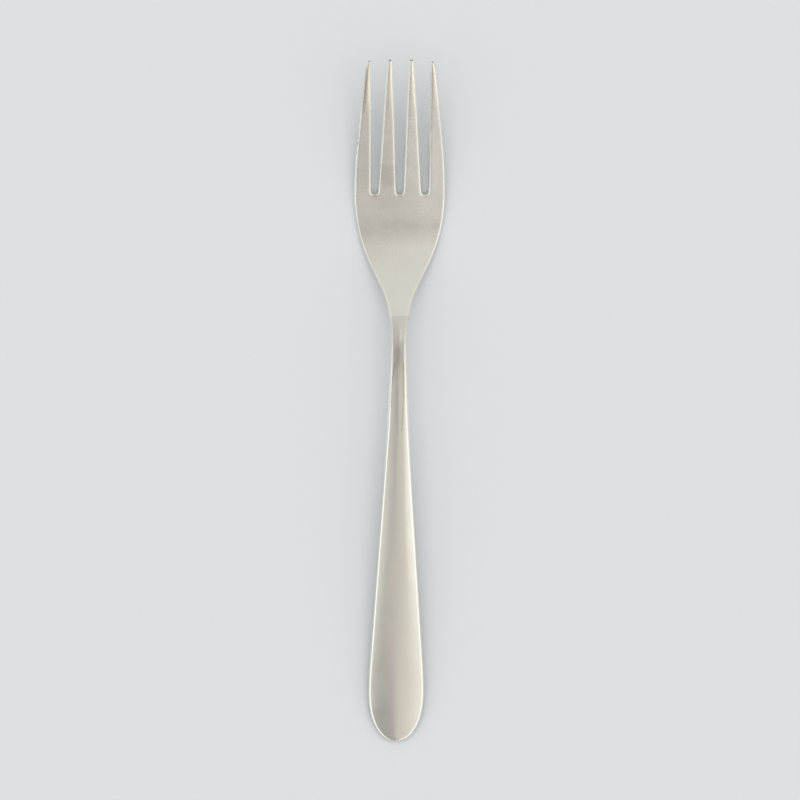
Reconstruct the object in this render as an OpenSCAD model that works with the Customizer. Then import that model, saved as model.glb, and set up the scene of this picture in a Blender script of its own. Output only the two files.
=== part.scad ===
// A dinner fork, stamped and polished from one piece of steel
// X runs across, Y along the fork to its points, Z up through the side that food lies on

/* [Overall] */
// Length from the end of the handle to the points of the tines
length = 200; // [190:1:215]

/* [Outline of the handle] */
// Widest width of the handle, near its end
handle_w = 16.6; // [13:0.2:19]
// Length of the rounded end, up to the widest place
end_len = 14.4; // [10:0.2:18]
// Fullness of the rounded end, where 2 is an ellipse
end_fullness = 2.15; // [1.9:0.05:2.6]
// Radius of the side just past the widest place
handle_side_r = 115; // [60:5:160]
// Radius of the side where the taper eases into the neck
taper_r = 480; // [250:10:600]
// Width of the neck at its narrowest
neck_w = 5.15; // [4.4:0.05:6]
// Distance of the narrowest place from the points
neck_to_tip = 81; // [79:0.5:89]

/* [Outline of the head] */
// Widest width of the head
head_w = 26.8; // [24:0.2:28]
// Distance of the widest place from the points
head_to_tip = 39.5; // [37:0.5:42]
// Radius of the hollow side between the neck and the head
shoulder_r = 35; // [24:1:40]
// Radius of the full side below the tines
cheek_r = 48; // [36:1:52]
// Radius of the side where the outer tines begin to lean in
tine_side_r = 143; // [100:1:180]

/* [Tines] */
// Distance of the middle of each round slot bottom from the points
tine_len = 38.2; // [34:0.2:40]
// Radius of the round bottom of each slot
slot_r = 0.95; // [0.7:0.05:1.2]
// Distance between slots at their bottoms
slot_pitch = 7.4; // [7:0.1:7.8]
// Distance between tines at their points
tip_pitch = 6.3; // [5.8:0.1:6.6]
// Width of a tine at its point
tip_w = 1.4; // [1.2:0.05:1.8]
// Rounding around the blunt end of each point
tip_round = 0.22; // [0.1:0.02:0.4]
// How far the outer points sit behind the inner ones
outer_back = 0.4; // [0.1:0.1:1]
// Length over which the outer corner of the outer points turns in
corner_len = 4; // [2:0.5:6]
// How far that outer corner turns in
corner_in = 0.45; // [0.2:0.05:0.6]

/* [Side view] */
// Angle at which the handle rises from its end
handle_angle = 8; // [6:0.25:8.5]
// Distance of the top of the neck's arch from the points
arch_to_tip = 86.5; // [84:0.5:92]
// Radius of the arch over the neck
arch_r = 32; // [20:1:36]
// Height of the arch above the lowest place of the head
arch_rise = 10.6; // [8:0.2:11.4]
// Distance of the lowest place of the head from the points
belly_to_tip = 48.4; // [46:0.2:51]
// Radius of the bowl at its lowest place
belly_r = 36; // [30:1:38]
// Angle at which the tines leave the bowl
tine_angle = 12; // [8:0.5:15]
// Radius of the tines' upward sweep
tine_r = 150; // [130:5:220]
// Length of the flat that the bowl rests on
rest_len = 2.4; // [1:0.2:4]
// Width of that flat
rest_w = 8; // [4:0.5:12]
// Rise of the bowl's sides above its flat middle
dish = 0.15; // [0.05:0.05:0.5]

/* [Thickness] */
// Edge thickness at the end of the handle
end_t = 1.3; // [1.1:0.1:1.8]
// Edge thickness at the middle of the handle
mid_t = 1.5; // [1.2:0.1:2.1]
// Edge thickness at the neck
neck_t = 2.3; // [1.9:0.1:2.8]
// Thickness of the bowl and of the tines' roots
palm_t = 1.9; // [1.5:0.1:2.2]
// Thickness of the points
tip_t = 1.25; // [1:0.05:1.5]
// Height of the handle's crown at its end
end_crown = 0.9; // [0.5:0.05:1.2]
// Height of the handle's crown at its middle
mid_crown = 0.65; // [0.3:0.05:0.9]
// Height of the crown on the neck
neck_crown = 0.3; // [0.1:0.05:0.5]
// Height of the crown on the palm of the bowl
palm_crown = 0.25; // [0.1:0.05:0.5]
// Height of the soft ridge on the crown at the end of the handle
ridge_h = 0.3; // [0.1:0.05:0.4]
// Half width of that ridge's soft top
ridge_r = 0.8; // [0.4:0.1:2]
// Height of the fuller back of the handle at its middle
back_crown = 0.25; // [0.1:0.05:0.5]
// Distance of the crease on the neck from the points
crease_to_tip = 75.1; // [72:0.1:78]
// Height that the upper face gains behind the crease
crease_h = 0.3; // [0.1:0.05:0.5]
// Length over which it gains that height
crease_len = 4; // [3:0.5:10]

/* [Rounded edges] */
// Width of the rounded edge along the handle
handle_edge_r = 0.8; // [0.6:0.1:1.2]
// Width of the rounded edge at the neck
neck_edge_r = 0.9; // [0.5:0.05:1.1]
// Width of the rounded edge around the bowl and the slots
head_edge_r = 0.75; // [0.4:0.05:0.9]
// Width of the rounded edge at the points
tip_edge_r = 0.4; // [0.3:0.02:0.5]
// Fullness of the rounded edges, where 2 is half an ellipse
edge_fullness = 2.3; // [2:0.1:3.2]

/* [Hidden] */

// Places along the fork, from the end of the handle
neck_s = length - neck_to_tip;
arch_s = length - arch_to_tip;
crease_s = length - crease_to_tip;
belly_s = length - belly_to_tip;
head_s = length - head_to_tip;
root_s = length - tine_len;
mid_s = arch_s / 2;
palm_s = (crease_s + belly_s) / 2;

// Lowest place of the bowl, and the angle at which its rest flat begins
rest_angle = asin(rest_len / 2 / belly_r);
belly_z = (belly_r + palm_t / 2) * cos(rest_angle) - belly_r;

// The tines' arc starts where the bowl's arc reaches their angle
sweep_s = belly_s + belly_r * sin(tine_angle);
sweep_z = belly_z + belly_r * (1 - cos(tine_angle));

// The blunt points lean forward, so the middle of the steel ends a little short of the full length,
// less what the rounding around them takes off
lean_share = tip_t / 2 / tine_r;
tip_lean = sin(tine_angle) + (length - sweep_s) / tine_r;
round_loss = tip_round * (1 + tip_lean - norm([1, tip_lean]));
tip_s = (length + round_loss - tip_t / 2 * (sin(tine_angle) - sweep_s / tine_r)) / (1 + lean_share);
outer_tip_s = tip_s - outer_back;
tips_half_w = (3 * tip_pitch + tip_w) / 2;

// The handle rises from its end on a long arc that runs smoothly into the arch over the neck
arch_z = belly_z + arch_rise;
end_back_crown = back_crown * end_crown / mid_crown;
neck_back_crown = back_crown * neck_crown / mid_crown;
end_half_t = end_t / 2 + end_back_crown;
end_z = norm([end_half_t, handle_edge_r * tan(handle_angle)]) - handle_edge_r * tan(handle_angle);
to_centre = [-arch_s, end_z - arch_z + arch_r];
toward_arc = [sin(handle_angle), -cos(handle_angle)];
handle_bend = 2 * (toward_arc * to_centre + arch_r) / (arch_r * arch_r - to_centre * to_centre);
join_sin = (sin(handle_angle) - handle_bend * arch_s) / (1 - handle_bend * arch_r);
join_s = arch_s - arch_r * join_sin;

// Sizes that change along the fork, one value for each station
stations = [0, mid_s, arch_s, palm_s, root_s, tip_s];
edge_ts = [end_t, mid_t, neck_t, palm_t, palm_t, tip_t];
crowns = [end_crown - ridge_h, mid_crown, neck_crown, palm_crown, palm_crown, 0];
ridges = [ridge_h, 0, 0, 0, 0, 0];
back_crowns = [end_back_crown, back_crown, neck_back_crown, 0, 0, 0];
edge_rs = [handle_edge_r, handle_edge_r, neck_edge_r, head_edge_r, head_edge_r, tip_edge_r];

// How finely the surface is divided
edge_rings = 4;
handle_columns = 12;
tine_columns = 3;
turn_columns = 8;
cap_rows = 5;
handle_rows = 16;
arch_rows = 10;
bowl_rows = 9;
tine_rows = 9;
corner_rows = 3;
tip_rows = 3;
relax_rows = 3;
cap_start = 45;

function mix(a, b, t) = a + (b - a) * t;
function ease(t) = t * t * (3 - 2 * t);
function steps(a, b, n) = [for (i = [1:n]) mix(a, b, i / n)];
function reverse(list) = [for (i = [len(list) - 1:-1:0]) list[i]];
function inner(list) = [for (i = [1:len(list) - 2]) list[i]];

// A size along the fork, easing from each station to the next
function along(s, values) =
    let(i = max([for (j = [0:len(stations) - 2]) if (j == 0 || s >= stations[j]) j]))
    let(t = (s - stations[i]) / (stations[i + 1] - stations[i]))
    mix(values[i], values[i + 1], ease(max(0, min(1, t))));

// Two arcs and the line that touches both, from level to level or, with no second arc, to a point.
// The radii are drawn in alike where the arcs would not fit. Gives the drop at u and its angle.
function swing_angle(run, drop, r) = atan2(run, r - drop) - acos(min(1, r / norm([run, r - drop])));
function swing(u, run, drop, r_start, r_end) =
    let(fit = min(1, (run * run + drop * drop) / (2 * drop * (r_start + r_end))))
    let(a = r_start * fit, b = r_end * fit)
    let(g = swing_angle(run, drop, a + b))
    let(v = run - u)
    u < a * sin(g) ? [a - sqrt(a * a - u * u), asin(u / a)] :
    v < b * sin(g) ? [drop - b + sqrt(b * b - v * v), asin(v / b)] :
    [a * (1 - cos(g)) + (u - a * sin(g)) * tan(g), g];

// Half width of the outline at s, and the angle of its side
function outline(s) =
    s < neck_s ? handle_outline(s) :
    s < head_s ? shoulder_outline(s) :
    tine_outline(s);
function handle_outline(s) =
    let(q = swing(s - end_len, neck_s - end_len, (handle_w - neck_w) / 2, handle_side_r, taper_r))
    [handle_w / 2 - q[0], -q[1]];
function shoulder_outline(s) =
    let(q = swing(s - neck_s, head_s - neck_s, (head_w - neck_w) / 2, shoulder_r, cheek_r))
    [neck_w / 2 + q[0], q[1]];
function tine_outline(s) =
    let(q = swing(s - head_s, tip_s - head_s, head_w / 2 - tips_half_w, tine_side_r, 0))
    let(t = max(0, 1 - (outer_tip_s - s) / corner_len))
    [head_w / 2 - q[0] - corner_in * t * t, -q[1]];

// Height and slope of the middle of the steel at s, seen from the side
function spine(s) =
    s < join_s ? arc(s, end_z, handle_angle, -handle_bend) :
    s < arch_s ? let(a = asin((arch_s - s) / arch_r)) [arch_z - arch_r * (1 - cos(a)), a] :
    s < belly_s ? bowl_spine(s) :
    s < sweep_s ? let(a = asin((s - belly_s) / belly_r)) [belly_z + belly_r * (1 - cos(a)), a] :
    arc(s - sweep_s, sweep_z, tine_angle, 1 / tine_r);
function bowl_spine(s) =
    let(q = swing(belly_s - s, belly_s - arch_s, arch_rise, belly_r, arch_r))
    [belly_z + q[0], -q[1]];
// Height and slope after a run of u on an arc that starts at height z and angle a
function arc(u, z, a, bend) =
    let(b = asin(sin(a) + bend * u))
    [z + u * tan((a + b) / 2), b];

// The rounded edge: how far in ring k lies, and how much of the thickness it has
function ring_in(k) = 1 - pow(cos(90 * k / edge_rings), 2 / edge_fullness);
function ring_up(k) = pow(sin(90 * k / edge_rings), 2 / edge_fullness);
rings = [0:edge_rings];

// Nodes of the surface net are [x, s, share of the thickness]
// On ring k inside the outline's side, at s
function side_node(side, s, k) =
    let(o = outline(s))
    [side * (o[0] - along(s, edge_rs) * ring_in(k) / cos(o[1])), s, ring_up(k)];
// On ring k inside the rounded end of the handle, at an angle from its middle
function cap_node(w, k) =
    let(e = 2 / end_fullness)
    let(x = pow(abs(sin(w)), e), v = pow(cos(w), e))
    let(n = [pow(x, end_fullness - 1) * 2 / handle_w, pow(v, end_fullness - 1) / end_len])
    let(d = n / norm(n) * handle_edge_r * ring_in(k))
    [sign(w) * (handle_w / 2 * x - d[0]), end_len * (1 - v) + d[1], ring_up(k)];
// Angle of slot j's side, which touches its round bottom and runs to the tine's point
function slot_lean(j, side) =
    let(x = side * ((j + side / 2) * tip_pitch - side * tip_w / 2 - j * slot_pitch))
    let(u = tip_s - root_s)
    atan2(x, u) - asin(slot_r / norm([x, u]));
// On ring k beside slot j, at s
function slot_node(j, side, s, k) =
    let(a = slot_lean(j, side))
    let(d = slot_r + along(s, edge_rs) * ring_in(k))
    [j * slot_pitch + side * (d / cos(a) + (s - root_s) * tan(a)), s, ring_up(k)];
// On ring k around the bottom of slot j, at an angle from its right
function turn_node(j, w, k) =
    let(d = slot_r + along(root_s, edge_rs) * ring_in(k))
    [j * slot_pitch + d * cos(w), root_s - d * sin(w), ring_up(k)];
function turn_start(j) = slot_lean(j, 1);
function turn_end(j) = 180 - slot_lean(j, -1);

// A row of nodes from the left edge to the right, with n columns between the edges' rings
function even_row(left, right, n) =
    let(a = left[edge_rings], b = right[edge_rings])
    concat(left, [for (i = [1:n - 1]) mix(a, b, i / n)], reverse(right));
function side_row(s, n) =
    even_row([for (k = rings) side_node(-1, s, k)], [for (k = rings) side_node(1, s, k)], n);

// The rounded end: its inner ring is the first row, and the next rows straighten out
end_arc = [for (i = [0:handle_columns]) cap_node(mix(-cap_start, cap_start, i / handle_columns), edge_rings)];
function end_row(m) =
    let(w = mix(cap_start, 90, m / cap_rows))
    let(left = [for (k = rings) cap_node(-w, k)])
    let(right = [for (k = rings) cap_node(w, k)])
    let(edge = right[edge_rings], corner = end_arc[handle_columns], bow = 1 - m / cap_rows)
    let(core = [for (p = inner(end_arc)) [edge[0] * p[0] / corner[0], edge[1] + (p[1] - corner[1]) * bow, 1]])
    concat(left, core, reverse(right));
end_rim = [for (k = rings) [for (i = [0:handle_columns])
    cap_node(mix(-cap_start, cap_start, i / handle_columns), k)]];

// A tine's row at s, where the row at its root takes up the turns around the slots
function tine_left(t, s) =
    t == 0 ? [for (k = rings) side_node(-1, s, k)] :
    s == root_s ? [for (k = rings) turn_node(t - 2, turn_start(t - 2), k)] :
    [for (k = rings) slot_node(t - 2, 1, s, k)];
function tine_right(t, s) =
    t == 3 ? [for (k = rings) side_node(1, s, k)] :
    s == root_s ? [for (k = rings) turn_node(t - 1, turn_end(t - 1), k)] :
    [for (k = rings) slot_node(t - 1, -1, s, k)];
function tine_row(t, s) = even_row(tine_left(t, s), tine_right(t, s), tine_columns);
// The row drawn in on all sides by d, for the rounding around the blunt point
function drawn_in(row, d) =
    let(a = row[0][0], b = row[len(row) - 1][0])
    let(x_share = 1 - 2 * d / (b - a), t_share = 1 - 2 * d / tip_t)
    [for (p = row) [mix((a + b) / 2, p[0], x_share), p[1], p[2] * t_share]];
function tine_net(t) =
    let(end = t == 0 || t == 3 ? outer_tip_s : tip_s)
    concat(
        [tine_row(t, root_s)],
        [for (s = steps(root_s, end - corner_len, tine_rows)) tine_row(t, s)],
        [for (s = steps(end - corner_len, end - tip_round, corner_rows)) tine_row(t, s)],
        [for (w = steps(0, 90, tip_rows))
            drawn_in(tine_row(t, end - tip_round * (1 - sin(w))), tip_round * (1 - cos(w)))]);

// The slot's turn, from its innermost ring up to its edge
function turn_net(j) = [for (k = reverse([for (k = rings) k]))
    [for (m = [0:turn_columns]) turn_node(j, mix(turn_end(j), turn_start(j), m / turn_columns), k)]];

// The row across the bowl along the tines' roots and around the slots
root_core = inner([for (t = [0:3]) each concat(
    [for (i = [0:tine_columns]) tine_row(t, root_s)[edge_rings + i]],
    t == 3 ? [] : inner(turn_net(t - 1)[0]))]);
bowl_columns = len(root_core) + 1;
relax_s = mix(belly_s + rest_len / 2, root_s - slot_r - head_edge_r, 1 / 3);
// Rows between an even row at relax_s and that curved one
function relax_row(m) =
    let(t = m / relax_rows, s = mix(relax_s, root_s, t))
    let(left = [for (k = rings) side_node(-1, s, k)])
    let(right = [for (k = rings) side_node(1, s, k)])
    let(x = right[edge_rings][0], x_root = side_node(1, root_s, edge_rings)[0])
    concat(left, [for (i = [1:bowl_columns - 1]) let(p = root_core[i - 1])
        [x * mix(2 * i / bowl_columns - 1, p[0] / x_root, ease(t)), s + (p[1] - root_s) * t * t, 1]],
        reverse(right));

handle_net = concat(
    [for (m = [0:cap_rows]) end_row(m)],
    [for (s = steps(end_len, join_s, handle_rows)) side_row(s, handle_columns)],
    [for (s = steps(join_s, crease_s, arch_rows)) side_row(s, handle_columns)],
    [for (s = steps(crease_s, belly_s - rest_len / 2, bowl_rows)) side_row(s, handle_columns)],
    [for (s = steps(belly_s - rest_len / 2, belly_s + rest_len / 2, 1)) side_row(s, handle_columns)]);
bowl_net = [for (m = [0:relax_rows]) relax_row(m)];

// A node's point on the upper face or, with side -1, on the back
function raised(p, side) =
    let(x = p[0], s = p[1], mid = spine(s), w = outline(max(s, end_len))[0], q = min(1, abs(x) / w))
    let(ridge = 1 - (norm([q * w, ridge_r]) - ridge_r) / (norm([w, ridge_r]) - ridge_r))
    let(gain = crease_h * (1 - exp(-max(0, crease_s - s) / crease_len)))
    let(front = along(s, crowns) * (1 - q * q) + along(s, ridges) * ridge + gain)
    let(back = along(s, back_crowns) * (1 - q * q))
    let(h = p[2] * (along(s, edge_ts) / 2 + (side > 0 ? front : back)))
    let(side_share = max(0, 2 * abs(x) - rest_w) / (head_w - rest_w))
    let(cup = dish * pow(side_share, 3) * ease(max(0, min(1, (s - crease_s) / (belly_s - crease_s)))))
    [x, s - side * h * sin(mid[1]) - length / 2, mid[0] + cup + side * h * cos(mid[1])];

// Triangles over a net of rows, on both faces
function face(a, b, c, side) =
    let(p = raised(a, side), q = raised(b, side), r = raised(c, side))
    side > 0 ? [p, q, r] : [p, r, q];
function skin(net) = [for (side = [-1, 1], i = [0:len(net) - 2], c = [0:len(net[i]) - 2])
    let(a = net[i][c], b = net[i][c + 1], d = net[i + 1][c], e = net[i + 1][c + 1])
    each [face(a, d, e, side), face(a, e, b, side)]];
// Triangles between a row and a finer one, which has a whole number of columns to each of its own
function seam(low, high) =
    let(n = (bowl_columns) / handle_columns, m = edge_rings)
    let(last_low = len(low) - 1, last_high = len(high) - 1)
    concat(
        skin([[for (k = rings) low[k]], [for (k = rings) high[k]]]),
        skin([[for (k = rings) low[last_low - m + k]], [for (k = rings) high[last_high - m + k]]]),
        [for (side = [-1, 1], i = [0:bowl_columns - 1])
            face(low[m + floor((i + n - 1) / n)], high[m + i], high[m + i + 1], side)],
        [for (side = [-1, 1], i = [0:handle_columns - 1])
            face(low[m + i], high[m + i * n + 1], low[m + i + 1], side)]);
// The flat end of a point
function blunt_end(row) = [for (c = [0:len(row) - 2])
    let(a = raised(row[c], 1), b = raised(row[c + 1], 1))
    let(d = raised(row[c], -1), e = raised(row[c + 1], -1))
    each concat(c == 0 ? [] : [[a, d, b]], c == len(row) - 2 ? [] : [[b, d, e]])];

triangles = concat(
    skin(end_rim),
    skin(handle_net),
    seam(handle_net[len(handle_net) - 1], bowl_net[0]),
    skin(bowl_net),
    [for (j = [-1:1]) each skin(turn_net(j))],
    [for (t = [0:3]) each skin(tine_net(t))],
    [for (t = [0:3]) let(net = tine_net(t)) each blunt_end(net[len(net) - 1])]);

module fork() {
    color([0.8, 0.78, 0.73])
        polyhedron(
            points = [for (t = triangles) each t],
            faces = [for (i = [0:len(triangles) - 1]) [3 * i, 3 * i + 1, 3 * i + 2]]);
}

fork();
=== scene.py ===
import math

import bmesh
import bpy
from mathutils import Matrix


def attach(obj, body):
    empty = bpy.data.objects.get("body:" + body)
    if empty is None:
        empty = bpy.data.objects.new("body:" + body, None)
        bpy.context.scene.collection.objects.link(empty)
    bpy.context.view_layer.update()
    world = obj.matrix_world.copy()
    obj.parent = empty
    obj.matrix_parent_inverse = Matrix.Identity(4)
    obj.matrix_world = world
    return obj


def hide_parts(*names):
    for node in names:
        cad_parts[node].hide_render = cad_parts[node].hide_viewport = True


# A plain dinner fork of polished steel, hollow side up on a pale board, seen from straight above.
# Sizes are in millimetres, and places along the fork are measured from the end of its handle.
# X runs across the fork and Y along it to its points.
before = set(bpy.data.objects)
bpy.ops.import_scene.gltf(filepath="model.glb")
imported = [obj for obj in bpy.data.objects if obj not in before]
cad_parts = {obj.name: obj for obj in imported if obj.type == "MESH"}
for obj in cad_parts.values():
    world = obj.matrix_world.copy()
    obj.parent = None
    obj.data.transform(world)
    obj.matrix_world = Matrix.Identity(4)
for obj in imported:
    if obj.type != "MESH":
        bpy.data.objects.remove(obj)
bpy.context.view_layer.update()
MM = 0.001

# The whole fork
LENGTH = 200

# Outline of the handle
HANDLE_W = 16.6
END_LEN = 14.4
END_FULLNESS = 2.15
HANDLE_SIDE_R = 115
TAPER_R = 480
NECK_W = 5.15
NECK = LENGTH - 81

# Outline of the head
HEAD_W = 26.8
HEAD = LENGTH - 39.5
SHOULDER_R = 35
CHEEK_R = 48
TINE_SIDE_R = 143

# Tines and the slots between them, which are numbered from the middle one
TINES = 4
SLOTS = (-1, 0, 1)
ROOT = LENGTH - 38.2
SLOT_R = 0.95
SLOT_PITCH = 7.4
TIP_PITCH = 6.3
TIP_W = 1.4
TIP_ROUND = 0.22
OUTER_BACK = 0.4
CORNER_LEN = 4
CORNER_IN = 0.45

# Side view
HANDLE_ANGLE = math.radians(8)
ARCH = LENGTH - 86.5
ARCH_R = 32
ARCH_RISE = 10.6
BELLY = LENGTH - 48.4
BELLY_R = 36
TINE_ANGLE = math.radians(12)
TINE_R = 150
REST_LEN = 2.4
REST_W = 8
DISH = 0.15

# Thickness, and how far the faces crown above it
END_T = 1.3
MID_T = 1.5
NECK_T = 2.3
PALM_T = 1.9
TIP_T = 1.25
END_CROWN = 0.9
MID_CROWN = 0.65
NECK_CROWN = 0.3
PALM_CROWN = 0.25
RIDGE_H = 0.3
RIDGE_R = 0.8
BACK_CROWN = 0.25

# Crease at the start of the bowl, where the handle's fuller face ends and the finish changes
CREASE = LENGTH - 75.1
CREASE_H = 0.3
CREASE_LEN = 4
CREASE_SLANT = 0.09

# Rounded edges
HANDLE_EDGE_R = 0.8
NECK_EDGE_R = 0.9
HEAD_EDGE_R = 0.75
TIP_EDGE_R = 0.4
EDGE_FULLNESS = 2.3

# Slight fall of each tine's upper face from its middle to its sides
TINE_CROWN = 0.12
CROWN_START = LENGTH - 25

# Small nicks in the left side: place along the fork and depth
NICKS = [(172.9, 0.12), (175.6, 0.25), (177.1, 0.18), (178.7, 0.12), (182.4, 0.14)]
NICK_LEN = 0.35
NICK_REACH = 2
NICK_DULL_DEPTH = 0.06

# Brown marks on the steel, as soft strokes: x and place at both ends, half width and strength. The lines
# along the neck are painted dark reflections, and those at the slots' bottoms and the small V at the handle's
# end are painted shade.
STAINS_AND_PAINTED_SHADE = [
    (1.5, 111.5, 1.62, 100, 0.16, 0.55), (1.62, 101, 1.1, 91, 0.16, 0.35),
    (-1.1, 111.5, -1.9, 105, 0.2, 0.45), (-1.9, 106, -2.2, 98, 0.16, 0.5),
    (-0.28, 104, -0.2, 90, 0.18, 0.25), (0.7, 117.5, -0.1, 110.5, 0.7, 0.12),
    (0, 120.5, 0.05, 116.5, 0.14, 0.25), (-3.8, 163, -3.5, 170, 2.2, 0.2),
    (-0.5, 0.5, 0.15, 1.1, 0.14, 0.35), (0.15, 1.1, 0.8, 0.6, 0.14, 0.35),
    (-8, 160.35, -6.8, 160.35, 0.25, 0.4), (-0.6, 160.35, 0.6, 160.35, 0.25, 0.4),
    (6.8, 160.35, 8, 160.35, 0.25, 0.2), (8.4, 163, 8.9, 178, 0.35, 0.35),
    (8.9, 178, 9.15, 198, 0.35, 0.35), (-9.8, 198, -11, 185, 0.6, 0.35)]
GOLDEN = [(2.05, 110.5, 2.45, 99.5, 0.45, 1)]
STROKE_END_SHARE = 0.4
STROKE_END_RISE = 6

# How finely the steel's surface is divided
EDGE_RINGS = 9
RINGS = range(EDGE_RINGS + 1)
TINE_COLUMNS = 6
TURN_COLUMNS = 14
COLUMNS = TINES * TINE_COLUMNS + len(SLOTS) * TURN_COLUMNS
CAP_ROWS = 16
CAP_START = math.radians(45)
TAPER_ROWS = 120
ARCH_ROWS = 44
CREASE_ROWS = 16
CREASE_REACH = 1
BOWL_ROWS = 56
REST_ROWS = 4
RELAX_ROWS = 10
RELAX_START_SHARE = 1 / 3
ROOT_ROWS = 10
ROOT_LEN = 3
TINE_ROWS = 90
CORNER_ROWS = 14
TIP_ROWS = 6
WELD = 0.0005

# Places worked out from the sizes
REST_ANGLE = math.asin(REST_LEN / 2 / BELLY_R)
BELLY_Z = (BELLY_R + PALM_T / 2) * math.cos(REST_ANGLE) - BELLY_R
SWEEP = BELLY + BELLY_R * math.sin(TINE_ANGLE)
SWEEP_Z = BELLY_Z + BELLY_R * (1 - math.cos(TINE_ANGLE))
TIP_LEAN = math.sin(TINE_ANGLE) + (LENGTH - SWEEP) / TINE_R
ROUND_LOSS = TIP_ROUND * (1 + TIP_LEAN - math.hypot(1, TIP_LEAN))
TIP = (LENGTH + ROUND_LOSS - TIP_T / 2 * (math.sin(TINE_ANGLE) - SWEEP / TINE_R)) / (1 + TIP_T / 2 / TINE_R)
OUTER_TIP = TIP - OUTER_BACK
TIPS_HALF_W = ((TINES - 1) * TIP_PITCH + TIP_W) / 2
ARCH_Z = BELLY_Z + ARCH_RISE
END_BACK_CROWN = BACK_CROWN * END_CROWN / MID_CROWN
END_HALF_T = END_T / 2 + END_BACK_CROWN
END_EDGE_RISE = HANDLE_EDGE_R * math.tan(HANDLE_ANGLE)
END_Z = math.hypot(END_HALF_T, END_EDGE_RISE) - END_EDGE_RISE


def handle_bend():
    """The bend of the handle's long arc, which runs from its end smoothly into the arch over the neck."""
    across, up = -ARCH, END_Z - ARCH_Z + ARCH_R
    toward = math.sin(HANDLE_ANGLE) * across - math.cos(HANDLE_ANGLE) * up
    return 2 * (toward + ARCH_R) / (ARCH_R * ARCH_R - across * across - up * up)


BEND = handle_bend()
JOIN = ARCH - ARCH_R * (math.sin(HANDLE_ANGLE) - BEND * ARCH) / (1 - BEND * ARCH_R)

# Sizes that change along the fork, one value for each station
STATIONS = [0, ARCH / 2, ARCH, (CREASE + BELLY) / 2, ROOT, TIP]
EDGE_TS = [END_T, MID_T, NECK_T, PALM_T, PALM_T, TIP_T]
CROWNS = [END_CROWN - RIDGE_H, MID_CROWN, NECK_CROWN, PALM_CROWN, PALM_CROWN, 0]
RIDGES = [RIDGE_H, 0, 0, 0, 0, 0]
BACK_CROWNS = [END_BACK_CROWN, BACK_CROWN, BACK_CROWN * NECK_CROWN / MID_CROWN, 0, 0, 0]
EDGE_RS = [HANDLE_EDGE_R, HANDLE_EDGE_R, NECK_EDGE_R, HEAD_EDGE_R, HEAD_EDGE_R, TIP_EDGE_R]

# Depth of the finest marks in the steel, and the colours of the steel, of what lies on it and of its painted
# highlights, shade and reflections
FINISH_DEPTH = 0.004
CLEAN_STEEL = (0.79, 0.775, 0.705, 1)
WARM_STEEL = (0.8, 0.745, 0.69, 1)
GRAIN_LINES = (0.68, 0.66, 0.61, 1)
# A painted highlight for the head's right side and painted shade for its left tines
PAINTED_HIGHLIGHT_STEEL = (0.98, 0.97, 0.92, 1)
PAINTED_SHADE_STEEL = (0.5, 0.5, 0.48, 1)
SOFT_EDGE = (0.6, 0.59, 0.55, 1)
# A painted highlight on the edges
PAINTED_EDGE_HIGHLIGHT = (0.97, 0.965, 0.93, 1)
# A painted brown reflection along the edges' inner side
PAINTED_BROWN_REFLECTION = (0.5, 0.4, 0.27, 1)
TARNISH = (0.3, 0.28, 0.24, 1)
# Brown for stains and for painted shade
BROWN_STAIN_AND_PAINTED_SHADE = (0.27, 0.19, 0.15, 1)
GOLDEN_FLECKS = (0.82, 0.72, 0.36, 1)
# Dark for worn pits and nicks, and painted shade in the dents
NICK_WEAR_AND_PAINTED_SHADE = (0.3, 0.26, 0.22, 1)

# The board
BOARD_HALF = 4000
BOARD_DROP = 0.02
FIBRE_DEPTH = 0.01
BOARD_FIBRES = (0.384, 0.4, 0.407, 1), (0.392, 0.408, 0.415, 1)

# Tones of the tent of light
TINES_CEILING = (0.56, 0.553, 0.56)
CEILING = (0.65, 0.635, 0.605)
FAR_CEILING = (0.8, 0.805, 0.775)
TINES_CEILING_RIGHT = (0.67, 0.655, 0.635, 1)
CREAM_CLOTH = (0.97, 0.94, 0.87, 1)
RIGHT_CLOTH = (1.38, 1.41, 1.46, 1)
LEFT_CLOTH = (1.32, 1.35, 1.37, 1)
LEFT_WALL, RIGHT_WALL = (0.6, 0.6, 0.585, 1), (0.8, 0.8, 0.78, 1)

# Soft oval patches in the tent: centre and reach sideways and lengthwise in degrees, strength and tone
PATCHES = [
    ((18, -11), (9, 1.8), 0.6, (1.32, 1.33, 1.33, 1)),
    ((-20, -11.8), (5, 2.2), 0.7, (0.86, 0.85, 0.8, 1)),
    ((-20, -10.5), (9, 3.5), 0.6, (0.84, 0.83, 0.76, 1)),
    ((-4, -12.8), (4.5, 2.5), 0.7, (0.74, 0.67, 0.63, 1)),
    ((11.5, -5), (2.5, 8), 0.5, (0.45, 0.32, 0.25, 1)),
    ((-20.5, -4), (2.5, 5), 0.8, (0.4, 0.32, 0.28, 1)),
    ((-6, -7), (2.5, 1.8), 0.8, (0.42, 0.4, 0.38, 1)),
    ((-5, 2), (12, 13), 0.8, (0.42, 0.41, 0.39, 1)),
    ((-11, -19.5), (14, 7), 1.0, (0.38, 0.38, 0.385, 1)),
    ((-7, -12.6), (7, 2), 0.8, (0.72, 0.68, 0.64, 1)),
    ((-1.5, -17), (4, 6), 0.6, (0.7, 0.61, 0.63, 1)),
    ((6, 23), (6.5, 11), 0.8, (0.99, 0.99, 0.96, 1)),
    ((14, -56), (13, 18), 1.0, (1.5, 1.4, 1.12, 1)),
    ((-14, -56), (15, 18), 1.0, (0.3, 0.24, 0.2, 1))]

# The camera: the picture's side and the fork's length in it in pixels, and where the lens points
PICTURE = 800
FORK_PIXELS = 681.7
LENS, SENSOR = 1000, 36
FOCUS_HEIGHT = 8
AIM_X, AIM_Y = 0.5, 0.25
TURN = math.radians(0.42)


def mix(a, b, t):
    return a + (b - a) * t


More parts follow.
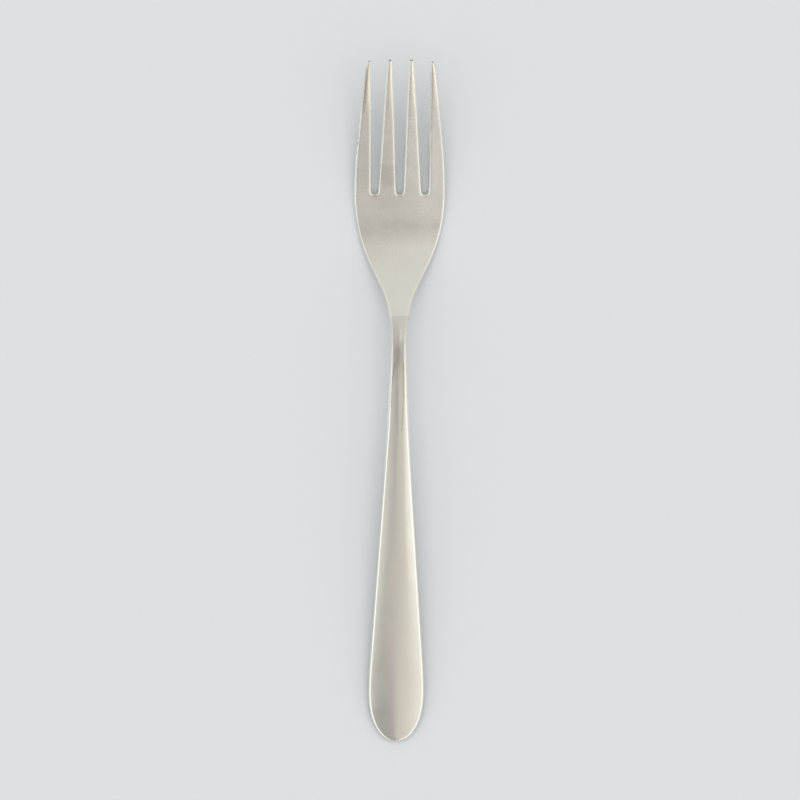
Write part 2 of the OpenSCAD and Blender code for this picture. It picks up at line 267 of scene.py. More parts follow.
def ease(t):
    t = max(0, min(1, t))
    return t * t * (3 - 2 * t)


def steps(a, b, n):
    """The n places after a, evenly spaced, up to b."""
    return [mix(a, b, i / n) for i in range(1, n + 1)]


def along(s, values):
    """A size at s, easing from each station to the next."""
    i = max(j for j in range(len(STATIONS) - 1) if j == 0 or s >= STATIONS[j])
    return mix(values[i], values[i + 1], ease((s - STATIONS[i]) / (STATIONS[i + 1] - STATIONS[i])))


def swing(u, run, drop, r_start, r_end):
    """The drop at u and its angle, along two arcs and the line that touches both."""
    fit = min(1, (run * run + drop * drop) / (2 * drop * (r_start + r_end)))
    a, b = r_start * fit, r_end * fit
    r = a + b
    g = math.atan2(run, r - drop) - math.acos(min(1, r / math.hypot(run, r - drop)))
    v = run - u
    if u < a * math.sin(g):
        return a - math.sqrt(a * a - u * u), math.asin(u / a)
    if v < b * math.sin(g):
        return drop - b + math.sqrt(b * b - v * v), math.asin(v / b)
    return a * (1 - math.cos(g)) + (u - a * math.sin(g)) * math.tan(g), g


def arc(u, z, angle, bend):
    """Height and slope after a run of u on an arc that starts at height z with that slope."""
    end = math.asin(math.sin(angle) + bend * u)
    return z + u * math.tan((angle + end) / 2), end


def outline(s):
    """Half width of the outline at s, and the angle of its side."""
    if s < NECK:
        drop, angle = swing(s - END_LEN, NECK - END_LEN, (HANDLE_W - NECK_W) / 2, HANDLE_SIDE_R, TAPER_R)
        return HANDLE_W / 2 - drop, -angle
    if s < HEAD:
        rise, angle = swing(s - NECK, HEAD - NECK, (HEAD_W - NECK_W) / 2, SHOULDER_R, CHEEK_R)
        return NECK_W / 2 + rise, angle
    drop, angle = swing(s - HEAD, TIP - HEAD, HEAD_W / 2 - TIPS_HALF_W, TINE_SIDE_R, 0)
    corner = max(0, 1 - (OUTER_TIP - s) / CORNER_LEN)
    return HEAD_W / 2 - drop - CORNER_IN * corner * corner, -angle


def spine(s):
    """Height and slope of the middle of the steel at s, seen from the side."""
    if s < JOIN:
        return arc(s, END_Z, HANDLE_ANGLE, -BEND)
    if s < ARCH:
        angle = math.asin((ARCH - s) / ARCH_R)
        return ARCH_Z - ARCH_R * (1 - math.cos(angle)), angle
    if s < BELLY:
        rise, angle = swing(BELLY - s, BELLY - ARCH, ARCH_RISE, BELLY_R, ARCH_R)
        return BELLY_Z + rise, -angle
    if s < SWEEP:
        angle = math.asin((s - BELLY) / BELLY_R)
        return BELLY_Z + BELLY_R * (1 - math.cos(angle)), angle
    return arc(s - SWEEP, SWEEP_Z, TINE_ANGLE, 1 / TINE_R)


def ring_in(k):
    """How far in ring k of a rounded edge lies, as a share of the edge's width."""
    return 1 - math.cos(math.pi / 2 * k / EDGE_RINGS) ** (2 / EDGE_FULLNESS) if k < EDGE_RINGS else 1


def ring_up(k):
    """How much of the steel's thickness ring k has."""
    return math.sin(math.pi / 2 * k / EDGE_RINGS) ** (2 / EDGE_FULLNESS)


# Each node of the surface net is (x, s, share of the thickness), and on a tine also its face's fall


def side_rings(side, s):
    """The nodes on all rings inside the outline's side, at s."""
    half, angle = outline(s)
    edge = along(s, EDGE_RS)
    return [(side * (half - edge * ring_in(k) / math.cos(angle)), s, ring_up(k)) for k in RINGS]


def cap_node(w, k):
    """On ring k inside the rounded end of the handle, at an angle from its middle."""
    x = abs(math.sin(w)) ** (2 / END_FULLNESS)
    v = max(0, math.cos(w)) ** (2 / END_FULLNESS)
    nx, ny = x ** (END_FULLNESS - 1) * 2 / HANDLE_W, v ** (END_FULLNESS - 1) / END_LEN
    inward = HANDLE_EDGE_R * ring_in(k) / math.hypot(nx, ny)
    return math.copysign(HANDLE_W / 2 * x - nx * inward, w), END_LEN * (1 - v) + ny * inward, ring_up(k)


def slot_lean(j, side):
    """Angle of slot j's side, which touches its round bottom and runs to the tine's point."""
    x = side * ((j + side / 2) * TIP_PITCH - side * TIP_W / 2 - j * SLOT_PITCH)
    u = TIP - ROOT
    return math.atan2(x, u) - math.asin(SLOT_R / math.hypot(x, u))


def slot_node(j, side, s, k):
    """On ring k beside slot j, at s."""
    lean = slot_lean(j, side)
    out = SLOT_R + along(s, EDGE_RS) * ring_in(k)
    return j * SLOT_PITCH + side * (out / math.cos(lean) + (s - ROOT) * math.tan(lean)), s, ring_up(k)


def turn_node(j, share, k):
    """On ring k around the round bottom of slot j, at a share of the turn from its left to its right."""
    w = mix(math.pi - slot_lean(j, -1), slot_lean(j, 1), share)
    out = SLOT_R + along(ROOT, EDGE_RS) * ring_in(k)
    return j * SLOT_PITCH + out * math.cos(w), ROOT - out * math.sin(w), ring_up(k)


def between(a, b, n):
    """The n - 1 nodes between two nodes."""
    return [tuple(mix(p, q, i / n) for p, q in zip(a, b)) for i in range(1, n)]


def side_row(s):
    left, right = side_rings(-1, s), side_rings(1, s)
    return left + between(left[-1], right[-1], COLUMNS) + right[::-1]


def end_curve(k):
    """Ring k's nodes around the middle of the handle's rounded end."""
    return [cap_node(mix(-CAP_START, CAP_START, i / COLUMNS), k) for i in range(COLUMNS + 1)]


def end_rim():
    return [end_curve(k) for k in RINGS]


def end_rows():
    """The rows that straighten out from the rounded end, whose inner ring is the first."""
    curve = end_curve(EDGE_RINGS)
    corner_x, corner_s, _ = curve[-1]
    rows = []
    for m in range(CAP_ROWS + 1):
        w = mix(CAP_START, math.pi / 2, m / CAP_ROWS)
        left = [cap_node(-w, k) for k in RINGS]
        right = [cap_node(w, k) for k in RINGS]
        edge_x, edge_s, _ = right[-1]
        core = []
        for x, s, _ in curve[1:-1]:
            core.append((edge_x * x / corner_x, edge_s + (s - corner_s) * (1 - m / CAP_ROWS), 1))
        rows.append(left + core + right[::-1])
    return rows


def slot_rings(j, side, s):
    """The nodes on all rings beside slot j at s, which at the root are those where its turn ends."""
    if s == ROOT:
        return [turn_node(j, 1 if side > 0 else 0, k) for k in RINGS]
    return [slot_node(j, side, s, k) for k in RINGS]


def tine_row(t, s):
    """Tine t's row at s, between the slots to its left and right or the sides of the head."""
    left = side_rings(-1, s) if t == 0 else slot_rings(SLOTS[t - 1], 1, s)
    right = side_rings(1, s) if t == TINES - 1 else slot_rings(SLOTS[t], -1, s)
    return left + between(left[-1], right[-1], TINE_COLUMNS) + right[::-1]


def span(row):
    """The middle of a tine's row and half its width."""
    return (row[0][0] + row[-1][0]) / 2, (row[-1][0] - row[0][0]) / 2


def drawn_in(row, d):
    """The row drawn in on all sides by d, for the rounding around the blunt point."""
    middle, half = span(row)
    return [(middle + (x - middle) * (1 - d / half), s, up * (1 - 2 * d / TIP_T)) for x, s, up in row]


def falling(row):
    """A tine's row with how far its upper face falls towards the sides, which grows to its point."""
    middle, half = span(row)
    most = TINE_CROWN * ease((row[0][1] - CROWN_START) / (TIP - CROWN_START))
    return [(x, s, up, most * ((x - middle) / half) ** 2) for x, s, up in row]


def tine_net(t):
    end = OUTER_TIP if t in (0, TINES - 1) else TIP
    places = [ROOT] + steps(ROOT, ROOT + ROOT_LEN, ROOT_ROWS)
    places += steps(ROOT + ROOT_LEN, end - CORNER_LEN, TINE_ROWS)
    places += steps(end - CORNER_LEN, end - TIP_ROUND, CORNER_ROWS)
    rows = [tine_row(t, s) for s in places]
    for w in steps(0, math.pi / 2, TIP_ROWS):
        row = tine_row(t, end - TIP_ROUND * (1 - math.sin(w)))
        rows.append(drawn_in(row, TIP_ROUND * (1 - math.cos(w))))
    return [falling(row) for row in rows]


def turn_net(j):
    """The turn around slot j's bottom, from its innermost ring up to its edge."""
    return [[turn_node(j, m / TURN_COLUMNS, k) for m in range(TURN_COLUMNS + 1)] for k in reversed(RINGS)]


def root_core():
    """The nodes across the bowl along the tines' roots and around the slots."""
    nodes = []
    for t in range(TINES):
        nodes += tine_row(t, ROOT)[EDGE_RINGS:EDGE_RINGS + TINE_COLUMNS + 1]
        nodes += turn_net(SLOTS[t])[0][1:-1] if t < TINES - 1 else []
    return nodes


def palm_rows():
    """The rows from an even one below the slots up to the curved one around them."""
    core = root_core()
    start = mix(BELLY + REST_LEN / 2, ROOT - SLOT_R - HEAD_EDGE_R, RELAX_START_SHARE)
    root_x = side_rings(1, ROOT)[-1][0]
    rows = []
    for m in range(RELAX_ROWS + 1):
        t = m / RELAX_ROWS
        s = mix(start, ROOT, t)
        left, right = side_rings(-1, s), side_rings(1, s)
        inner = []
        for i in range(1, COLUMNS):
            spread = mix(2 * i / COLUMNS - 1, core[i][0] / root_x, ease(t))
            inner.append((right[-1][0] * spread, s + (core[i][1] - ROOT) * t * t, 1))
        rows.append(left + inner + right[::-1])
    return rows


def handle_rows():
    """The rows from the end of the handle, over the neck's arch and into the bowl."""
    places = steps(END_LEN, JOIN, TAPER_ROWS)
    places += steps(JOIN, CREASE - CREASE_REACH, ARCH_ROWS)
    places += steps(CREASE - CREASE_REACH, CREASE + CREASE_REACH, CREASE_ROWS)
    places += steps(CREASE + CREASE_REACH, BELLY - REST_LEN / 2, BOWL_ROWS)
    places += steps(BELLY - REST_LEN / 2, BELLY + REST_LEN / 2, REST_ROWS)
    return end_rows() + [side_row(s) for s in places] + palm_rows()


def crease_at(x):
    """Where the crease between the handle's finish and the head's lies, which runs a little aslant."""
    return CREASE + CREASE_SLANT * x


def nicked(x, s, up):
    """How far a nick moves a point of the left side in."""
    if x > NICK_REACH - outline(s)[0]:
        return 0
    return (1 - up) * sum(depth * math.exp(-((s - place) / NICK_LEN) ** 2) for place, depth in NICKS)


def marked(x, s, strokes):
    """How strongly strokes mark a place: weaker at their ends, and gone at twice their half width."""
    most = 0
    for x_start, s_start, x_end, s_end, half, strength in strokes:
        run, rise = x_end - x_start, s_end - s_start
        t = max(0, min(1, ((x - x_start) * run + (s - s_start) * rise) / (run * run + rise * rise)))
        off = math.hypot(x - mix(x_start, x_end, t), s - mix(s_start, s_end, t)) / half
        faded = min(1, STROKE_END_RISE * min(t, 1 - t) + STROKE_END_SHARE)
        most = max(most, strength * (1 - ease(off / 2)) * faded)
    return most


def raised(node, side):
    """A node's point on the upper face or, with side -1, on the back."""
    x, s, up = node[:3]
    mid, slope = spine(s)
    half = outline(max(s, END_LEN))[0]
    off = min(1, abs(x) / half)
    if side > 0:
        ridge = 1 - (math.hypot(off * half, RIDGE_R) - RIDGE_R) / (math.hypot(half, RIDGE_R) - RIDGE_R)
        gain = CREASE_H * (1 - math.exp(-max(0, crease_at(x) - s) / CREASE_LEN))
        fullness = along(s, CROWNS) * (1 - off * off) + along(s, RIDGES) * ridge + gain - sum(node[3:])
    else:
        fullness = along(s, BACK_CROWNS) * (1 - off * off)
    height = up * (along(s, EDGE_TS) / 2 + fullness)
    side_share = max(0, 2 * abs(x) - REST_W) / (HEAD_W - REST_W)
    cup = DISH * side_share ** 3 * ease((s - CREASE) / (BELLY - CREASE))
    z = mid + cup + side * height * math.cos(slope)
    return x + nicked(x, s, up), s - side * height * math.sin(slope) - LENGTH / 2, max(0, z)


def sharpness(x, s):
    """How much the edges' finish shows at a place: fully, but less around the slots' round bottoms."""
    beside_slots = abs(x) < SLOT_PITCH + SLOT_R * 2 and s > ROOT - SLOT_R - HEAD_EDGE_R * 2
    return ease(1 + (s - ROOT) / SLOT_R) if beside_slots else 1


def add_skin(bm, layers, net):
    """Quads over a net of rows, on both faces of the steel."""
    rim, nick, stain_and_painted_shade, golden = layers
    for side in (-1, 1):
        verts = []
        for row in net:
            verts.append([bm.verts.new([c * MM for c in raised(node, side)]) for node in row])
            for vert, node in zip(verts[-1], row):
                x, s, up = node[:3]
                vert[rim] = (1 - up) * sharpness(x, s)
                vert[nick] = min(1, nicked(x, s, up) / NICK_DULL_DEPTH) if side > 0 else 0
                vert[stain_and_painted_shade] = marked(x, s, STAINS_AND_PAINTED_SHADE) if side > 0 else 0
                vert[golden] = marked(x, s, GOLDEN) if side > 0 else 0
        for low, high in zip(verts, verts[1:]):
            for a, b, c, d in zip(low, low[1:], high[1:], high):
                bm.faces.new((a, b, c, d) if side > 0 else (d, c, b, a))


def add_blunt_end(bm, rim, row):
    """The flat end of a point, between the upper face's last row and the back's."""
    tops = [bm.verts.new([c * MM for c in raised(node, 1)]) for node in row]
    backs = [bm.verts.new([c * MM for c in raised(node, -1)]) for node in row]
    for vert in tops + backs:
        vert[rim] = 1
    for i in range(len(row) - 1):
        corners = [backs[i], backs[i + 1], tops[i + 1], tops[i]]
        if i == 0:
            corners.remove(backs[0])
        if i == len(row) - 2:
            corners.remove(backs[-1])
        bm.faces.new(corners)


def put(name, data):
    """A new object in the scene."""
    made = bpy.data.objects.new(name, data)
    bpy.context.scene.collection.objects.link(made)
    return made


def forge_fork():
    """The fork as one closed net over its upper face, its back and its rounded edges."""
    bm = bmesh.new()
    layers = [bm.verts.layers.float.new(name) for name in ("rim", "nick", "stain_and_painted_shade", "golden")]
    tines = [tine_net(t) for t in range(TINES)]
    for net in [end_rim(), handle_rows()] + [turn_net(j) for j in SLOTS] + tines:
        add_skin(bm, layers, net)
    for net in tines:
        add_blunt_end(bm, bm.verts.layers.float["rim"], net[-1])
    bmesh.ops.remove_doubles(bm, verts=bm.verts, dist=WELD * MM)
    for face in bm.faces:
        x, y, _ = face.calc_center_median() / MM
        face.smooth = True
        face.material_index = 0 if y + LENGTH / 2 > crease_at(x) else 1
    mesh = bpy.data.meshes.new("fork")
    bm.to_mesh(mesh)
    bm.free()
    return put("steel_fork", mesh)


def add(tree, kind, inputs=(), **settings):
    """A new shader node with its settings, its inputs set to values or joined to other nodes' outputs."""
    made = tree.nodes.new("ShaderNode" + kind)
    for name, value in settings.items():
        setattr(made, name, value)
    for name, value in dict(inputs).items():
        if isinstance(value, bpy.types.NodeSocket):
            tree.links.new(value, made.inputs[name])
        else:
            made.inputs[name].default_value = value
    return made


def emptied(holder):
    """The empty node tree of a new material or world."""
    holder.use_nodes = True
    holder.node_tree.nodes.clear()
    return holder.node_tree


def show(tree, shader, end="OutputMaterial"):
    """Join a shader to the end of its tree."""
    tree.links.new(shader.outputs[0], add(tree, end).inputs["Surface"])


def chained(tree, operation, values):
    """One kind of sum over several values, from the first to the last."""
    result = values[0]
    for value in values[1:]:
        result = add(tree, "Math", {0: result, 1: value}, operation=operation).outputs[0]
    return result


def total(tree, *values):
    return chained(tree, "ADD", values)


def product(tree, *values):
    return chained(tree, "MULTIPLY", values)


def quotient(tree, value, divisor):
    return chained(tree, "DIVIDE", (value, divisor))


def largest(tree, *values):
    return chained(tree, "MAXIMUM", values)


def scaled(tree, value, from_min, from_max, to_min, to_max, kind="SMOOTHSTEP"):
    """A value moved from one range to another, and held inside it."""
    sockets = {"Value": value, "From Min": from_min, "From Max": from_max, "To Min": to_min, "To Max": to_max}
    return add(tree, "MapRange", sockets, interpolation_type=kind).outputs["Result"]


def rising(tree, value, start, full):
    """A mask that rises smoothly from 0 at one value to 1 at another."""
    return scaled(tree, value, start, full, 0, 1)


def rising_across(tree, x, start, full):
    """A mask that rises between two places across the fork."""
    return rising(tree, x, start * MM, full * MM)


def from_middle(s):
    """A place along the fork, measured from its middle as the finish sees it."""
    return (s - LENGTH / 2) * MM


def rising_along(tree, y, start, full):
    """A mask that rises between two places along the fork."""
    return rising(tree, y, from_middle(start), from_middle(full))


def blended(tree, share, a, b):
    """Two colours mixed by a share."""
    mixed = add(tree, "Mix", {0: share, 6: a, 7: b}, data_type="RGBA")
    return mixed.outputs[2]


def noise(tree, place, scale, detail, roughness=0.5):
    """Soft noise between 0 and 1."""
    sockets = {"Vector": place, "Scale": scale, "Detail": detail, "Roughness": roughness}
    return add(tree, "TexNoise", sockets).outputs[0]


def mesh_mask(tree, name):
    """A mask that the mesh holds at its points."""
    return add(tree, "Attribute", attribute_name=name).outputs["Fac"]


def effect(name, inputs, outputs):
    """A new node group with named inputs and outputs, the sockets at its two ends and its place."""
    group = bpy.data.node_groups.new(name, "ShaderNodeTree")
    group.interface.new_socket("Place", in_out="INPUT", socket_type="NodeSocketVector")
    for label, value in inputs:
        group.interface.new_socket(label, in_out="INPUT", socket_type="NodeSocketFloat").default_value = value
    for label in outputs:
        group.interface.new_socket(label, in_out="OUTPUT", socket_type="NodeSocketFloat")
    given = group.nodes.new("NodeGroupInput").outputs
    result = group.nodes.new("NodeGroupOutput").inputs
    return group, given, result, given["Place"]


def polishing_grain():
    """Fine lines that the polishing wheel leaves along the steel, broken up over their length."""
    group, given, result, place = effect(
        "polishing grain", [("Lines per mm", 8.0), ("Line length mm", 6.0)], ["Height", "Tone"])
    across = product(group, given["Lines per mm"], 1 / MM)
    lengthwise = quotient(group, 1 / MM, given["Line length mm"])
    stretch = add(group, "CombineXYZ", {"X": across, "Y": lengthwise, "Z": across}).outputs[0]
    stretched = add(group, "VectorMath", {0: place, 1: stretch}, operation="MULTIPLY").outputs[0]
    lines = noise(group, stretched, 1.0, 3.0, 0.6)
    group.links.new(lines, result["Height"])
    group.links.new(rising(group, lines, 0.3, 0.7), result["Tone"])
    return group


def cloudy_polish():
    """Soft clouds where the polish is a little duller or the metal a little warmer."""
    group, given, result, place = effect("cloudy polish", [("Cloud size mm", 5.0)], ["Cloud", "Warmth"])
    scale = quotient(group, 1 / MM, given["Cloud size mm"])
    for label, shift in (("Cloud", (0, 0, 0)), ("Warmth", (0.31, 0.17, 0.05))):
        shifted = add(group, "VectorMath", {0: place, 1: shift}, operation="ADD").outputs[0]
        group.links.new(rising(group, noise(group, shifted, scale, 2.0), 0.3, 0.7), result[label])
    return group


def hairline_scratches():
    """Sparse hairline scratches from use, in three directions."""
    group, given, result, place = effect("hairline scratches", [("Amount", 0.3)], ["Scratch"])
    masks = []
    for turn, fineness in ((0.5, 7.0), (-0.35, 9.0), (1.2, 8.0)):
        stretch = (fineness / MM, 0.12 / MM, 0.4 / MM)
        sockets = {"Vector": place, "Rotation": (0, 0, turn), "Scale": stretch}
        turned = add(group, "Mapping", sockets).outputs[0]
        masks.append(rising(group, noise(group, turned, 1.0, 1.0), 0.7, 0.76))
    group.links.new(product(group, largest(group, *masks), given["Amount"]), result["Scratch"])
    return group


def edge_wear():
    """Edges with a mask for their tone and painted highlight, satin edges, dull nicks and, mostly by the
    tines, a painted brown reflection line on the inner side.
    """
    group, given, result, place = effect(
        "edge wear", [("Nicks", 0.5)], ["Bright", "Satin", "Nick", "Painted reflection line"])
    rim = mesh_mask(group, "rim")
    uneven = noise(group, place, 0.9 / MM, 3.0)
    bright = product(group, rising(group, rim, 0, 0.25), scaled(group, uneven, 0.3, 0.6, 0.7, 1))
    pits = add(group, "TexVoronoi", {"Vector": place, "Scale": 1.1 / MM}).outputs["Distance"]
    pitted = product(
        group,
        scaled(group, pits, 0.08, 0.2, 1, 0),
        rising(group, rim, 0.05, 0.4),
        rising(group, uneven, 0.5, 0.62),
        given["Nicks"])
    # The nicks' darkening is partly worn steel and partly painted shade in the dents
    dented = product(
        group,
        rising(group, mesh_mask(group, "nick"), 0.2, 0.8),
        scaled(group, uneven, 0.35, 0.6, 0.35, 0.9))
    y = add(group, "SeparateXYZ", {"Vector": place}).outputs["Y"]
    # A painted brown reflection line where the edges start to round, strongest on the tines
    painted_reflection_line = product(
        group,
        rising(group, rim, 0, 0.007),
        scaled(group, rim, 0.014, 0.05, 1, 0),
        scaled(group, y, from_middle(154), from_middle(166), 0.1, 1),
        scaled(group, uneven, 0.35, 0.6, 0.3, 1))
    group.links.new(bright, result["Bright"])
    group.links.new(rising(group, rim, 0, 0.08), result["Satin"])
    group.links.new(largest(group, pitted, dented), result["Nick"])
    group.links.new(painted_reflection_line, result["Painted reflection line"])
    return group


def marks_and_painted_shade():
    """Thin brown stains and painted shade, and broken golden flecks, where the mesh says that they lie."""
    group, _, result, place = effect("marks and painted shade", [], ["Stain", "Golden"])
    uneven = noise(group, place, 1.2 / MM, 2.0)
    broken = product(group, mesh_mask(group, "stain_and_painted_shade"), scaled(group, uneven, 0.3, 0.55, 0.6, 1))
    flecks = product(group, mesh_mask(group, "golden"), rising(group, uneven, 0.47, 0.56))
    group.links.new(broken, result["Stain"])
    group.links.new(flecks, result["Golden"])
    return group


def painted_side_light_and_shade():
    """Painted light on the head: a painted highlight on its right side and painted shade on its left tines.
    """
    group, _, result, place = effect("painted side light and shade", [], ["Bright", "Painted shade on left tines"])
    x, y, _ = add(group, "SeparateXYZ", {"Vector": place}).outputs
    bright = product(group, rising_across(group, x, 0, 11), rising_along(group, y, 144, 150))
    dull = product(group, rising_across(group, x, -1, -10), rising_along(group, y, 158, 168))
    group.links.new(bright, result["Bright"])
    group.links.new(dull, result["Painted shade on left tines"])
    return group


def neck_tarnish_and_painted_edge_highlight():
    """A slight dull tarnish on the neck up to the crease, and how strongly the edges get a painted highlight.
    """
    group, given, result, place = effect("neck tarnish and painted edge highlight", [("Amount", 0.0)], ["Tarnish", "Painted edge highlight"])
    x, y, _ = add(group, "SeparateXYZ", {"Vector": place}).outputs
    fade = rising_along(group, y, JOIN - 9, JOIN + 1)
    beyond_handle = rising_along(group, y, NECK - 50, NECK - 20)
    right_side = rising_across(group, x, 8, 11)
    shoulder = product(group, rising_along(group, y, 120, 130), rising_along(group, y, 162, 150))
    held = scaled(group, largest(group, right_side, shoulder), 0, 1, 1, 0.15)
    group.links.new(product(group, beyond_handle, held), result["Painted edge highlight"])
    group.links.new(product(group, fade, given["Amount"]), result["Tarnish"])
    return group


def steel(name, effects, dullness, lines, clouds, scratches, nicks, painted_reflection_line, warmth, tarnish):
    """Polished stainless steel, whose finish differs a little between the head and the handle."""
    material = bpy.data.materials.new(name)
    tree = emptied(material)
    place = add(tree, "TexCoord").outputs["Object"]

    def placed(group, **values):
        made = tree.nodes.new("ShaderNodeGroup")
        made.node_tree = effects[group]
        tree.links.new(place, made.inputs["Place"])
        for label, value in values.items():
            made.inputs[label.replace("_", " ")].default_value = value
        return made.outputs

    def coated(under, mask, strength, coat):
        return blended(tree, product(tree, mask, strength), under, coat)

    def weighed(*parts):
        return [product(tree, mask, weight) for mask, weight in parts]

    grain = placed("grain", Lines_per_mm=lines[0], Line_length_mm=lines[1])
    cloud = placed("cloud", Cloud_size_mm=clouds)
    scratch = placed("scratch", Amount=scratches)["Scratch"]
    wear = placed("wear", Nicks=nicks)
    neck = placed("tarnish", Amount=tarnish)
    marks = placed("marks")
    # Painted highlight and painted shade across the head
    polish = placed("polish")

    colour = coated(CLEAN_STEEL, cloud["Warmth"], warmth, WARM_STEEL)
    colour = coated(colour, grain["Tone"], 0.1, GRAIN_LINES)
    # A painted highlight on the head's right side, then painted shade on its left tines
    colour = coated(colour, polish["Bright"], 0.3, PAINTED_HIGHLIGHT_STEEL)
    colour = coated(colour, polish["Painted shade on left tines"], 0.25, PAINTED_SHADE_STEEL)
    colour = coated(colour, wear["Bright"], 0.5, SOFT_EDGE)
    # A painted highlight on the edges towards the neck and over the head, weaker on the head's right side and
    # shoulders
    colour = coated(colour, wear["Bright"], neck["Painted edge highlight"], PAINTED_EDGE_HIGHLIGHT)
    # A painted brown reflection line along the edges
    colour = coated(colour, wear["Painted reflection line"], painted_reflection_line, PAINTED_BROWN_REFLECTION)
    colour = blended(tree, neck["Tarnish"], colour, TARNISH)
    # Brown stains, painted shade at the slots' bottoms and the handle's end, and painted dark reflections
    # along the neck
    colour = blended(tree, marks["Stain"], colour, BROWN_STAIN_AND_PAINTED_SHADE)
    colour = coated(colour, marks["Golden"], 0.7, GOLDEN_FLECKS)
    # Worn pits and nicks, darkened partly as worn steel and partly as painted shade in the dents
    colour = blended(tree, wear["Nick"], colour, NICK_WEAR_AND_PAINTED_SHADE)

    rough = total(tree, dullness, *weighed(
        (cloud["Cloud"], 0.06), (grain["Tone"], 0.05), (scratch, 0.12),
        (wear["Satin"], 0.25), (wear["Nick"], 0.3)))
    height = total(tree, *weighed(
        (grain["Height"], 0.05), (cloud["Cloud"], 0.25), (scratch, -0.6), (wear["Nick"], -8.0)))
    normal = add(tree, "Bump", {"Strength": 1.0, "Distance": FINISH_DEPTH * MM, "Height": height}).outputs[0]
    show(tree, add(tree, "BsdfPrincipled", {
        "Base Color": colour, "Metallic": 1.0, "Roughness": rough, "Normal": normal}))
    return material


def lay_board():
    """The pale board that the fork lies on."""
    half = BOARD_HALF * MM
    corners = [(-half, -half, 0), (half, -half, 0), (half, half, 0), (-half, half, 0)]
    mesh = bpy.data.meshes.new("board")
    mesh.from_pydata(corners, [], [(0, 1, 2, 3)])
    board = put("board", mesh)
    board.location.z = -BOARD_DROP * MM
    material = bpy.data.materials.new("pale board")
    tree = emptied(material)
    place = add(tree, "TexCoord").outputs["Object"]
    fibres = noise(tree, place, 0.25 / MM, 4.0)
    colour = blended(tree, fibres, *BOARD_FIBRES)
    normal = add(tree, "Bump", {"Strength": 0.3, "Distance": FIBRE_DEPTH * MM, "Height": fibres}).outputs[0]
    show(tree, add(tree, "BsdfPrincipled", {
        "Base Color": colour, "Roughness": 0.9, "Specular IOR Level": 0.1, "Normal": normal,
        "Emission Color": colour, "Emission Strength": 0.25}))
    mesh.materials.append(material)


def profile(tree, angle, stops):
    """A value or colour that changes with an angle, through its values at some degrees."""
    place = scaled(tree, angle, -90, 90, 0, 1, kind="LINEAR")
    made = add(tree, "ValToRGB", {"Fac": place})
    made.color_ramp.interpolation = "CARDINAL"
    elements = made.color_ramp.elements
    elements.remove(elements[1])
    elements[0].position = (stops[0][0] + 90) / 180
    for degrees, _ in stops[1:]:
        elements.new((degrees + 90) / 180)
    for element, (_, value) in zip(elements, stops):
        element.color = (*value, 1) if isinstance(value, tuple) else (value, value, value, 1)
    return made.outputs[0]


def held_between(tree, value, low, high):
    return add(tree, "Clamp", {"Value": value, "Min": low, "Max": high}).outputs[0]


def hang_ceiling(tree, sideways, lengthwise):
    """The grey ceiling, a little askew: darker where the tines mirror it, and lighter at its far end."""
    askew = product(tree, held_between(tree, sideways, -3.5, 3.5), 3)
    light = profile(tree, total(tree, lengthwise, askew), [
        (-90, (0.7, 0.7, 0.69)), (-60, TINES_CEILING), (-28, TINES_CEILING), (-14, CEILING), (2, CEILING),
        (12, (0.675, 0.66, 0.63)), (23, (0.735, 0.725, 0.695)), (31, (0.79, 0.785, 0.76)),
        (46, FAR_CEILING), (90, (0.86, 0.86, 0.84))])
    right = product(tree, rising(tree, sideways, -5, 5), rising(tree, lengthwise, -17, -26))
    return blended(tree, right, light, TINES_CEILING_RIGHT)


def hang_cloths(tree, light, sideways, lengthwise):
    """The cream cloth and the white cloths to the right and the left, each with its own fall-off."""
    cream = product(
        tree,
        profile(tree, sideways, [(-6, 0), (3, 0.12), (7, 0.28), (11, 0.46), (15, 0.7), (19, 0.9), (24, 1)]),
        profile(tree, lengthwise, [(-50, 0.2), (-20, 1), (-9, 1), (-7.5, 0.85), (-5, 0.2), (-3, 0)]))
    light = blended(tree, cream, light, CREAM_CLOTH)
    right = product(
        tree,
        profile(tree, sideways, [
            (11, 0), (15, 0.06), (19, 0.22), (23, 0.6), (27, 0.92), (34, 1), (55, 0.95), (75, 0.75)]),
        profile(tree, lengthwise, [
            (-60, 1), (-30, 1), (-20, 0.8), (-13, 0.85), (-10, 1), (0, 1), (12, 0.8), (24, 0.3), (45, 0.1)]))
    light = blended(tree, right, light, RIGHT_CLOTH)
    slant = product(tree, held_between(tree, lengthwise, -13, -6), 1.17)
    left = product(
        tree,
        rising(tree, total(tree, sideways, slant), -31.2, -42),
        profile(tree, lengthwise, [(-75, 0.5), (-50, 1), (5, 1), (25, 0.5), (50, 0.4), (80, 0.4)]))
    return blended(tree, left, light, LEFT_CLOTH)


def inside_patch(tree, angles, centre, reach):
    """How far a direction lies inside a soft oval patch, from 0 at its rim to 1 in its middle."""
    parts = []
    for angle, middle, half in zip(angles, centre, reach):
        off = quotient(tree, total(tree, angle, -middle), half)
        parts.append(chained(tree, "POWER", (off, 2)))
    return rising(tree, total(tree, *parts), 1, 0)


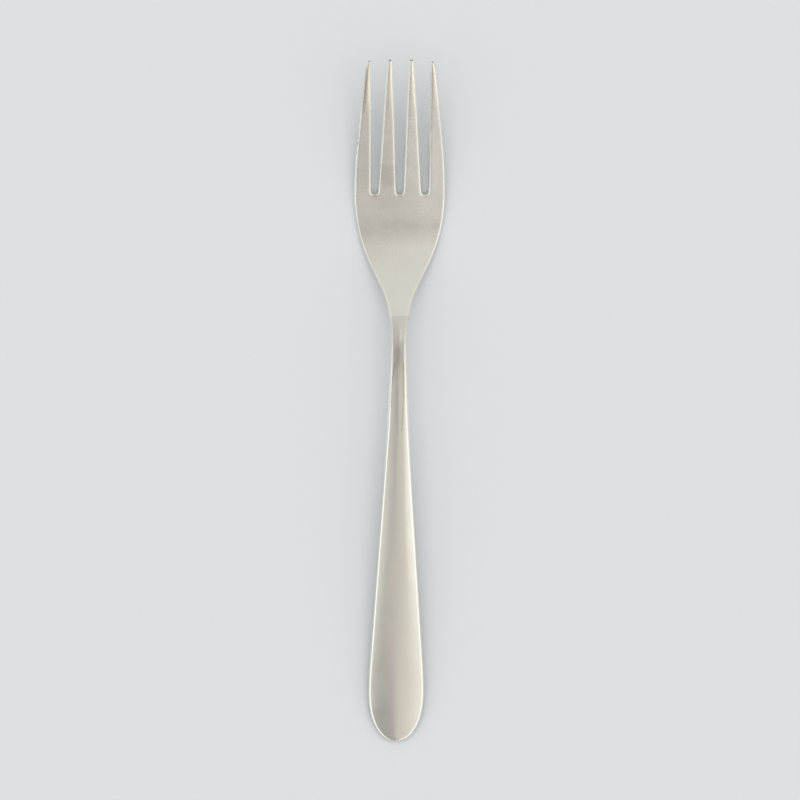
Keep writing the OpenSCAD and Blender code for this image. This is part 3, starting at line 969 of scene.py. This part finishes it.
def light_studio():
    """A soft tent of light: ceiling, cloths and patches over a low grey wall, and a wide lamp above."""
    world = bpy.data.worlds.new("soft studio")
    bpy.context.scene.world = world
    tree = emptied(world)
    x, y, z = add(tree, "SeparateXYZ", {"Vector": add(tree, "TexCoord").outputs["Generated"]}).outputs
    up = largest(tree, z, 0.02)
    sideways, lengthwise = [
        product(tree, chained(tree, "ARCTAN2", (part, up)), 180 / math.pi) for part in (x, y)]

    light = hang_ceiling(tree, sideways, lengthwise)
    light = hang_cloths(tree, light, sideways, lengthwise)
    for centre, reach, strength, tone in PATCHES:
        inside = product(tree, inside_patch(tree, (sideways, lengthwise), centre, reach), strength)
        light = blended(tree, inside, light, tone)
    wall = blended(tree, rising(tree, x, -0.9, 0.9), LEFT_WALL, RIGHT_WALL)
    light = blended(tree, rising(tree, z, 0.36, 0.2), light, wall)
    show(tree, add(tree, "Background", {"Color": light, "Strength": 1.0}), "OutputWorld")

    lamp = bpy.data.lights.new("overhead cloth", "SUN")
    lamp.angle = math.radians(60)
    lamp.energy = 2.05
    put("overhead cloth", lamp).visible_glossy = False


def set_camera():
    """A long lens straight above the fork, turned as little as the fork lies askew in the picture."""
    pixel = LENGTH / FORK_PIXELS
    camera = bpy.data.cameras.new("camera")
    camera.lens, camera.sensor_width = LENS, SENSOR
    camera.clip_start, camera.clip_end = 100 * MM, 30000 * MM
    holder = put("camera", camera)
    holder.location = (AIM_X * MM, AIM_Y * MM, (FOCUS_HEIGHT + PICTURE * pixel * LENS / SENSOR) * MM)
    holder.rotation_euler = (0, 0, TURN)
    bpy.context.scene.camera = holder


fork = forge_fork()
effects = {
    "grain": polishing_grain(), "cloud": cloudy_polish(), "scratch": hairline_scratches(),
    "wear": edge_wear(), "marks": marks_and_painted_shade(), "polish": painted_side_light_and_shade(), "tarnish": neck_tarnish_and_painted_edge_highlight()}
fork.data.materials.append(steel(
    "satin steel of the head", effects, dullness=0.2, lines=(9.0, 3.0), clouds=4.0,
    scratches=0.15, nicks=1.0, painted_reflection_line=0.6, warmth=0.5, tarnish=0))
fork.data.materials.append(steel(
    "bright steel of the handle", effects, dullness=0.1, lines=(7.0, 14.0), clouds=6.0,
    scratches=0.3, nicks=0.3, painted_reflection_line=0.15, warmth=0.3, tarnish=0.2))
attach(fork, "root")
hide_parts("fork")
lay_board()
light_studio()
set_camera()
bpy.context.scene.view_settings.view_transform = "Standard"
